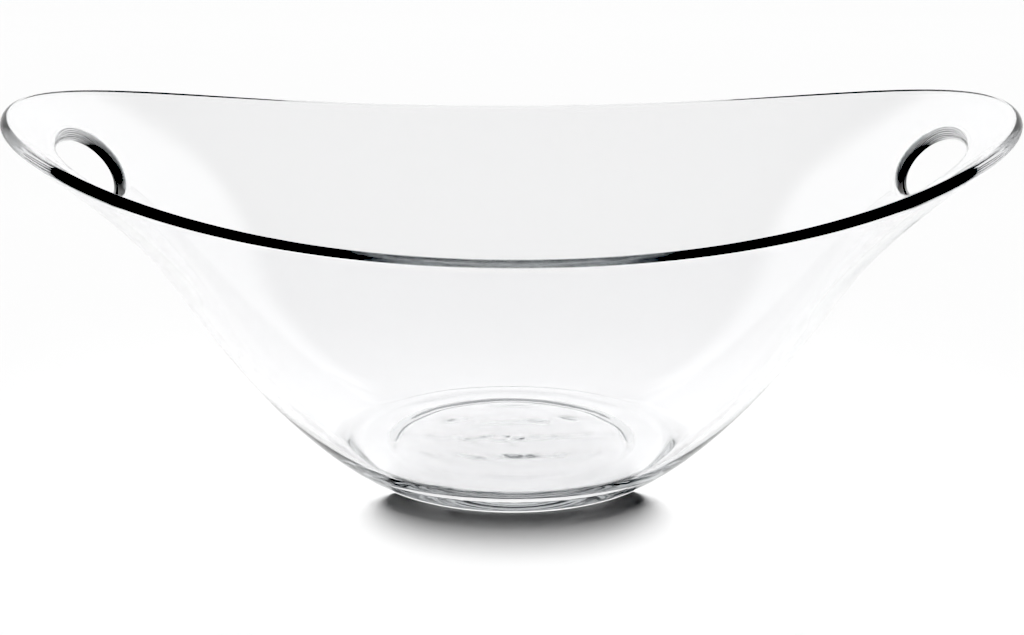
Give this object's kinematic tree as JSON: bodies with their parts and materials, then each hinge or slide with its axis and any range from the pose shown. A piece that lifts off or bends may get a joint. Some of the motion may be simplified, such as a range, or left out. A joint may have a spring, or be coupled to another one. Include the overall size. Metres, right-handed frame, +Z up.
{
  "type": "punch bowl",
  "caption": "Oval punch bowl of clear pressed glass: round recessed foot, dipping long sides, and a hand hole through each raised, flared end.",
  "frame": {"origin": "on the table under the middle of the round foot", "axes": "+Z up, +X along the bowl from hand hole to hand hole, +Y across it"},
  "size_m": [0.3772, 0.226, 0.1372],
  "materials": {
    "clear_glass": "clear pressed glass, fire-polished"
  },
  "bodies": {
    "root": {"bowl": "clear_glass"}
  },
  "joints": []
}
